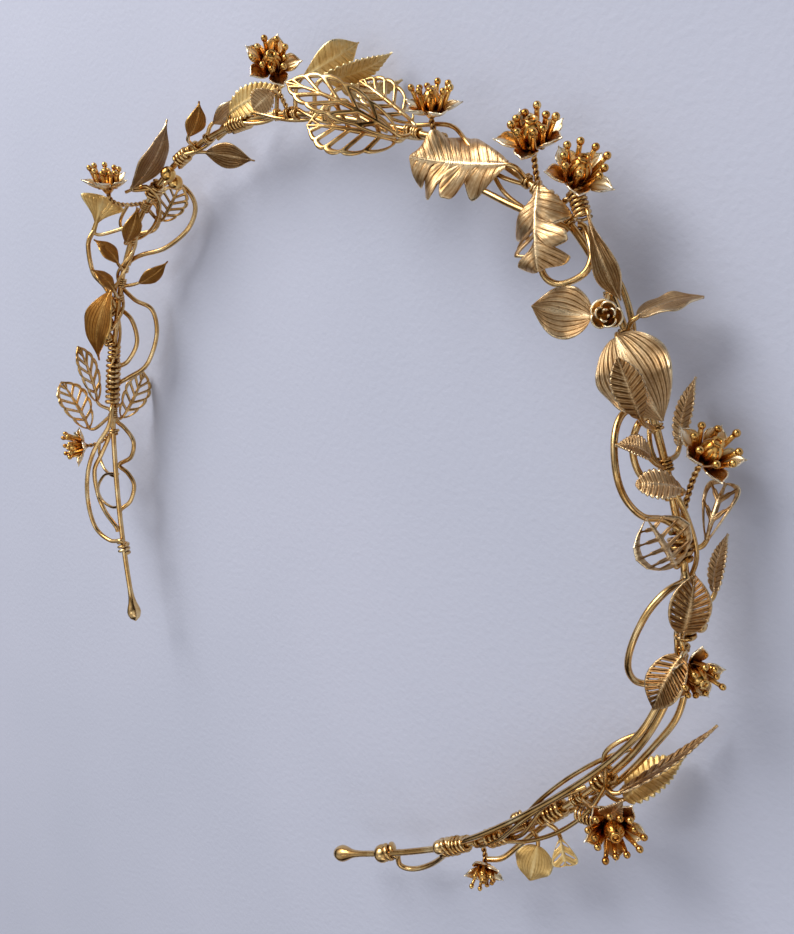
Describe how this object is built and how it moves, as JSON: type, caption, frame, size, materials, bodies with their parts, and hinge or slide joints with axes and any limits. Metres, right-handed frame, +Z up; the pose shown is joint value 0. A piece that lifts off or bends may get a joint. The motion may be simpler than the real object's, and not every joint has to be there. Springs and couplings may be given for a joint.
{
  "type": "leaf headband",
  "caption": "Open wire headband wound with thin vine wires and covered with small metal leaves and flowers.",
  "frame": {"origin": "centre of the bounding box, at the surface that the headband lies on", "axes": "+Z up from the surface, across the band; +X across the head from arm to arm; +Y towards the top of the band, away from its open ends"},
  "size_m": [0.1686, 0.1509, 0.0222],
  "materials": {
    "wire": "polished yellow-gold wire",
    "leaf": "satin champagne-gold sheet with bright edges",
    "flower": "polished deep amber-bronze"
  },
  "bodies": {
    "root": {"band_wire": "wire", "binding_wraps": "wire", "beads": "wire", "rose_bud": "leaf", "left_vine_wires": "wire", "apex_vine_wires": "wire", "right_vine_wires": "wire", "end_vine_wires": "wire", "left_skeleton_leaf": "leaf", "left_lower_skeleton_leaf": "leaf", "left_filigree_leaf": "leaf", "left_folded_leaf": "leaf", "left_small_leaf_a": "leaf", "left_small_leaf_b": "leaf", "left_small_leaf_c": "leaf", "left_small_leaf_d": "leaf", "calyx_leaf": "leaf", "left_serrated_leaf": "leaf", "shoulder_filigree_leaf": "leaf", "shoulder_leaf_a": "leaf", "shoulder_leaf_b": "leaf", "shoulder_leaf_c": "leaf", "shoulder_long_leaf": "leaf", "top_lance_leaf": "leaf", "top_serrated_leaf_a": "leaf", "top_serrated_leaf_b": "leaf", "top_round_leaf": "leaf", "filigree_leaf_a": "leaf", "filigree_leaf_b": "leaf", "filigree_leaf_c": "leaf", "oak_leaf_a": "leaf", "oak_leaf_b": "leaf", "slender_leaf": "leaf", "bud_left_leaf": "leaf", "bud_right_leaf": "leaf", "broad_leaf": "leaf", "rose_leaf": "leaf", "folded_serrated_leaf": "leaf", "ribbed_serrated_leaf": "leaf", "long_serrated_leaf": "leaf", "fork_leaf": "leaf", "barred_leaf": "leaf", "narrow_serrated_leaf": "leaf", "pierced_leaf_a": "leaf", "pierced_leaf_b": "leaf", "end_long_leaf": "leaf", "end_under_leaf": "leaf", "crumpled_leaf": "leaf", "holed_leaf": "leaf", "fan_leaf": "leaf", "left_flower": "flower", "shoulder_flower": "flower", "top_left_flower": "flower", "top_flower": "flower", "apex_flower": "flower", "apex_right_flower": "flower", "right_flower": "flower", "lower_right_flower": "flower", "end_flower": "flower", "small_flower": "flower"}
  },
  "joints": []
}
